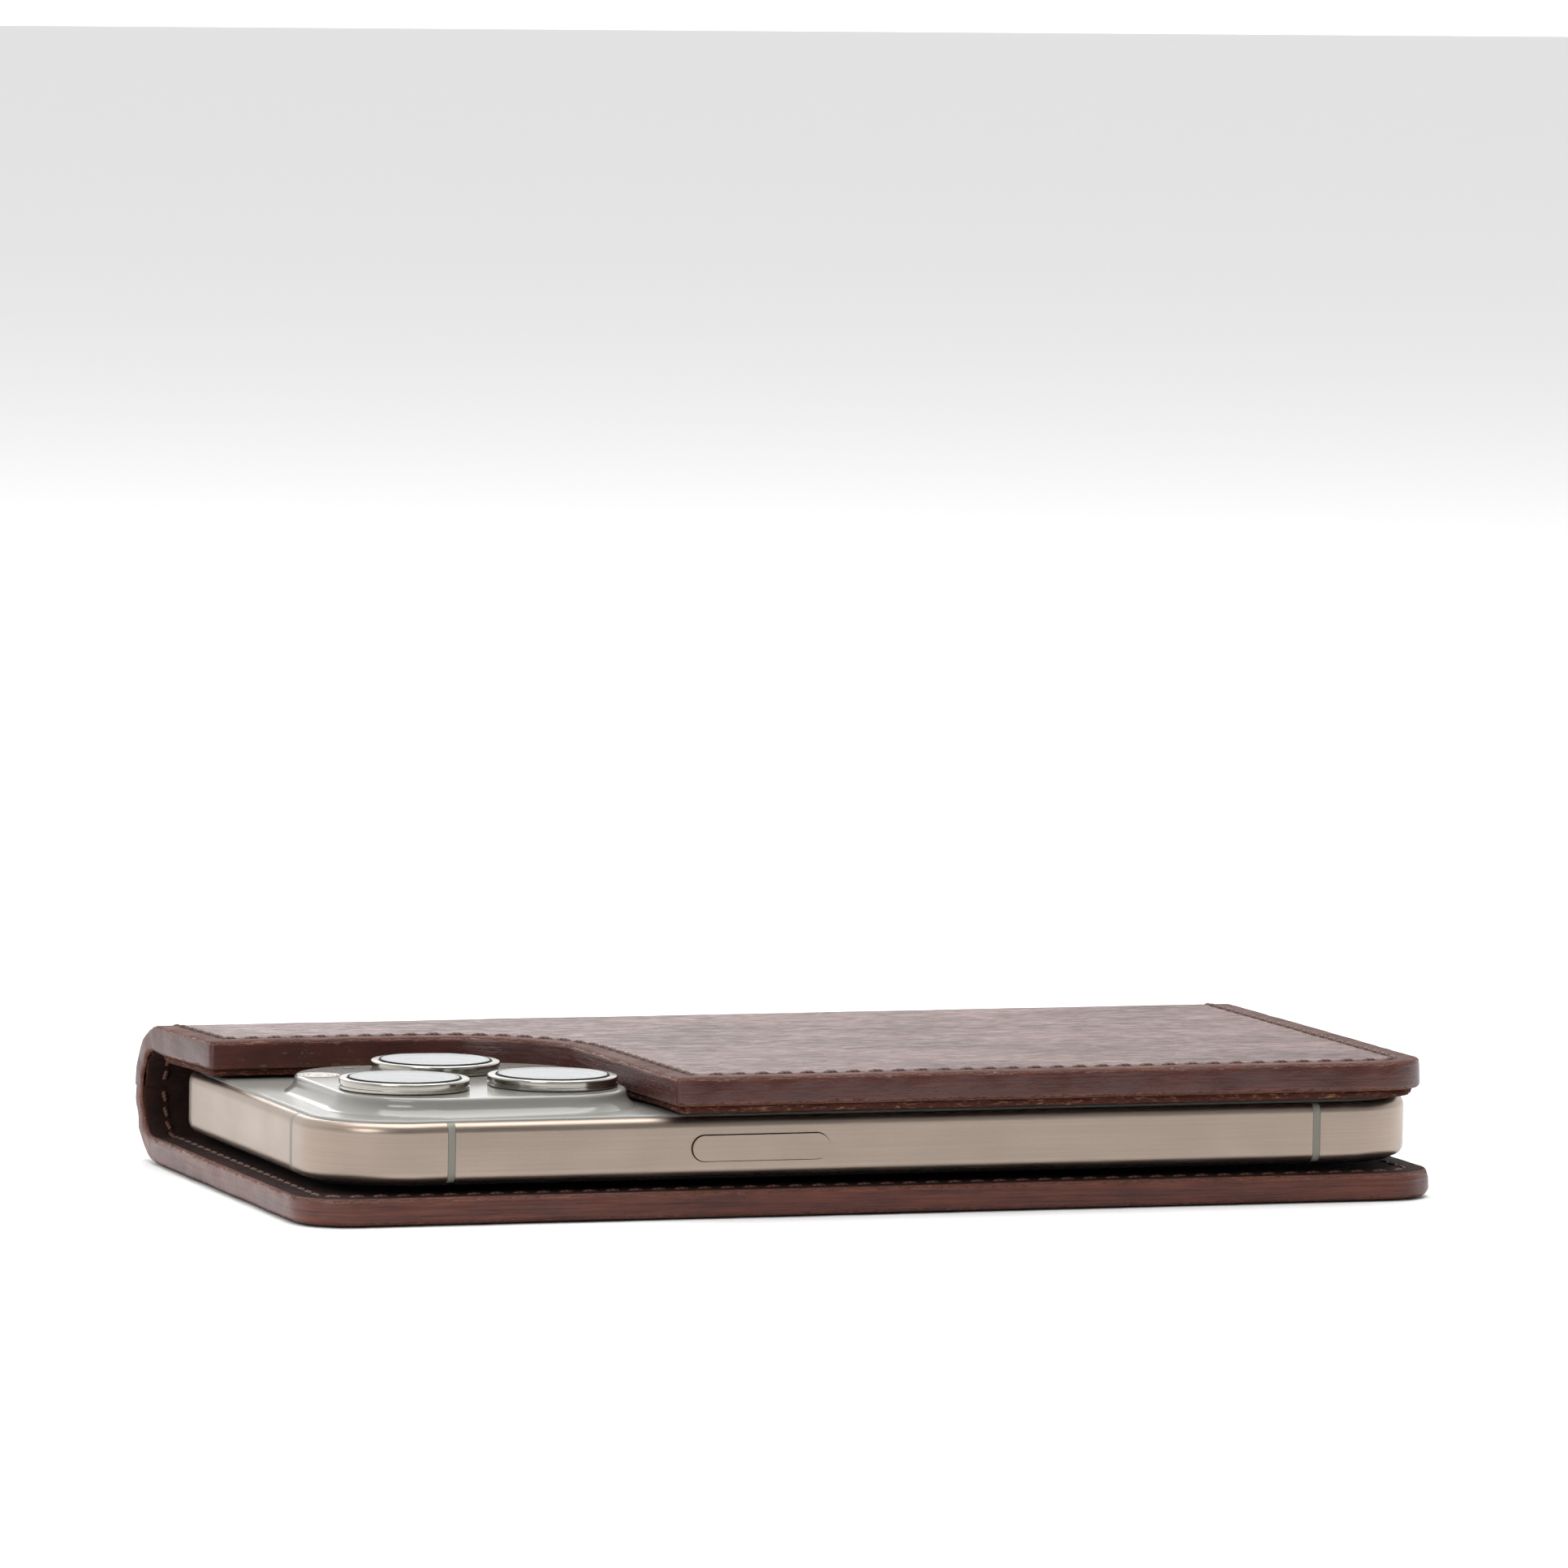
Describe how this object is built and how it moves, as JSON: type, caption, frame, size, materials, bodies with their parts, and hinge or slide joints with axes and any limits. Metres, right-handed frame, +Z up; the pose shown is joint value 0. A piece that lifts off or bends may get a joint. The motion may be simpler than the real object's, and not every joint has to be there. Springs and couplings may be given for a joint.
{
  "type": "phone wallet case",
  "caption": "Brown leather book-style phone wallet case with an open camera corner and stepped card pockets, lying closed around a slim phone.",
  "frame": {"origin": "underside of the front cover, below the middle of the closed case", "axes": "+X along the phone towards its port, +Y across the case towards the spine, +Z up, from the front cover to the back panel"},
  "size_m": [0.151, 0.0782, 0.0176],
  "materials": {
    "leather": "satin",
    "lining": "matte",
    "board": "matte",
    "magnet": "satin",
    "titanium": "satin",
    "polished_metal": "polished",
    "antenna_plastic": "satin",
    "screen_glass": "gloss",
    "back_glass": "satin",
    "lens_glass": "gloss",
    "flash_lens": "gloss",
    "dark_plastic": "matte",
    "battery_pouch": "matte",
    "circuit_board": "matte",
    "coil_copper": "satin"
  },
  "bodies": {
    "front_cover": {"front_cover_leather": "leather", "front_cover_board": "board", "card_pocket_back": "lining", "card_pocket_middle": "lining", "card_pocket_front": "lining", "front_cover_lining": "lining"},
    "spine": {"spine_leather": "leather", "spine_lining": "lining"},
    "back_panel": {"back_panel_leather": "leather", "back_panel_board": "board", "back_panel_lining": "lining", "magnet_ring": "magnet", "magnet_shunt": "magnet", "alignment_magnet": "magnet"},
    "phone": {"phone_frame": "titanium", "phone_back_glass": "back_glass", "display_glass": "screen_glass", "earpiece_grille": "dark_plastic", "front_camera_glass": "lens_glass", "antenna_strip_open_top": "antenna_plastic", "antenna_strip_open_bottom": "antenna_plastic", "antenna_strip_spine_top": "antenna_plastic", "antenna_strip_spine_bottom": "antenna_plastic", "antenna_strip_camera_end": "antenna_plastic", "antenna_strip_port_end": "antenna_plastic", "main_lens_ring": "polished_metal", "main_lens_glass": "lens_glass", "main_lens_barrel": "dark_plastic", "tele_lens_ring": "polished_metal", "tele_lens_glass": "lens_glass", "tele_lens_barrel": "dark_plastic", "wide_lens_ring": "polished_metal", "wide_lens_glass": "lens_glass", "wide_lens_barrel": "dark_plastic", "flash_window": "flash_lens", "depth_sensor_window": "lens_glass", "rear_microphone": "dark_plastic", "port_shell": "polished_metal", "port_tongue": "dark_plastic", "port_screw_1": "polished_metal", "port_screw_2": "polished_metal", "display_panel": "screen_glass", "battery": "battery_pouch", "circuit_board": "circuit_board", "charging_coil": "coil_copper", "phone_magnet_ring": "magnet"},
    "side_button": {"side_button": "titanium"},
    "action_button": {"action_button": "titanium"},
    "volume_up_button": {"volume_up_button": "titanium"},
    "volume_down_button": {"volume_down_button": "titanium"}
  },
  "joints": [
    {"name": "front_fold", "type": "hinge", "parent": "front_cover", "child": "spine", "pos_m": [0, 0.03615, 0.00295], "axis": [-1, 0, 0], "range_deg": [0, 90]},
    {"name": "back_fold", "type": "hinge", "parent": "spine", "child": "back_panel", "pos_m": [0, 0.03647, 0.01497], "axis": [-1, 0, 0], "range_deg": [0, 90]},
    {"name": "phone_slide", "type": "slide", "parent": "back_panel", "child": "phone", "axis": [0, -1, 0], "range_m": [0, 0.08]},
    {"name": "side_button_press", "type": "slide", "parent": "phone", "child": "side_button", "axis": [0, 1, 0], "range_m": [0, 0.0003], "stiffness_N_per_m": 4000},
    {"name": "action_button_press", "type": "slide", "parent": "phone", "child": "action_button", "axis": [0, -1, 0], "range_m": [0, 0.0003], "stiffness_N_per_m": 4000},
    {"name": "volume_up_button_press", "type": "slide", "parent": "phone", "child": "volume_up_button", "axis": [0, -1, 0], "range_m": [0, 0.0003], "stiffness_N_per_m": 4000},
    {"name": "volume_down_button_press", "type": "slide", "parent": "phone", "child": "volume_down_button", "axis": [0, -1, 0], "range_m": [0, 0.0003], "stiffness_N_per_m": 4000}
  ]
}
